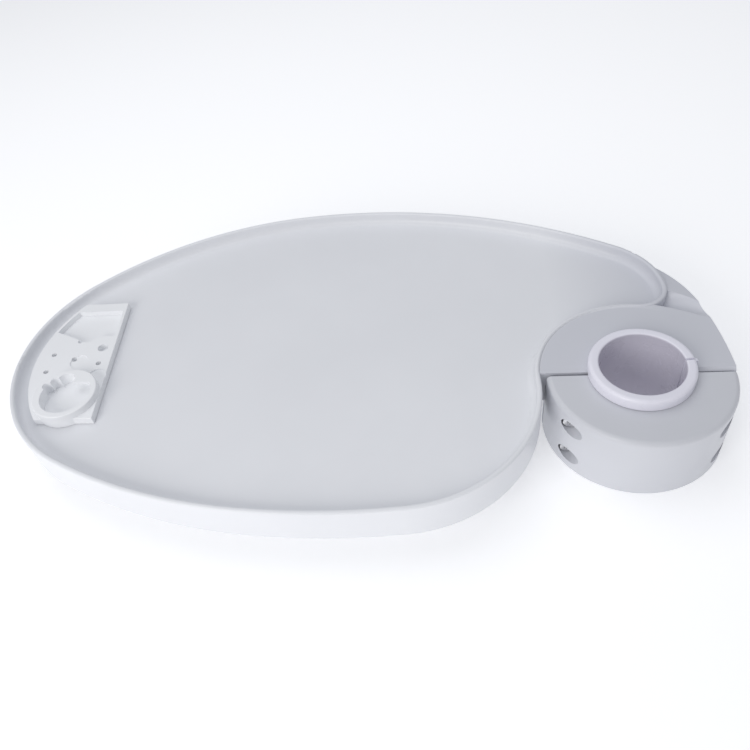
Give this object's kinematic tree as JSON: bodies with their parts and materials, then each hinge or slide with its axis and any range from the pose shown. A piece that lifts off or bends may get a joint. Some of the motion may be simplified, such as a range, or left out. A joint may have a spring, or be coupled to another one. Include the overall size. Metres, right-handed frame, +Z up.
{
  "type": "post-mounted instrument tray",
  "caption": "Shallow palette-shaped instrument tray with a split collar and flanged sleeve that clamp on an upright post, and a lift-out bur rack with a notched cup.",
  "frame": {"origin": "on the post's axis, at the collar's top face", "axes": "+Z up along the post; the tray lies towards -X; +Y towards the tray's back"},
  "size_m": [0.4713, 0.2855, 0.0554],
  "materials": {
    "tray_plastic": "satin-gloss white ABS",
    "cap_plastic": "satin-gloss white ABS",
    "sleeve_plastic": "smooth white nylon, slightly cool",
    "rack_plastic": "satin white ABS",
    "screw_steel": "plain steel socket head screw",
    "washer_steel": "plain steel",
    "bush_brass": "turned brass"
  },
  "bodies": {
    "sleeve": {"post_sleeve": "sleeve_plastic"},
    "tray": {"tray_body": "tray_plastic", "threaded_bush_left_upper": "bush_brass", "threaded_bush_left_lower": "bush_brass", "threaded_bush_right_upper": "bush_brass", "threaded_bush_right_lower": "bush_brass"},
    "cap": {"clamp_cap": "cap_plastic", "clamp_screw_left_upper": "screw_steel", "clamp_screw_left_lower": "screw_steel", "clamp_screw_right_upper": "screw_steel", "clamp_screw_right_lower": "screw_steel", "washer_left_upper": "washer_steel", "washer_left_lower": "washer_steel", "washer_right_upper": "washer_steel", "washer_right_lower": "washer_steel"},
    "rack": {"bur_rack": "rack_plastic"}
  },
  "joints": [
    {"name": "tray_swivel", "type": "hinge", "parent": "sleeve", "child": "tray", "pos_m": [0, 0, -0.02], "axis": [0, 0, 1], "continuous": true},
    {"name": "cap_release", "type": "slide", "parent": "tray", "child": "cap", "axis": [0, -1, 0], "range_m": [0, 0.06]},
    {"name": "rack_lift", "type": "slide", "parent": "tray", "child": "rack", "axis": [0, 0, 1], "range_m": [0, 0.05]}
  ]
}
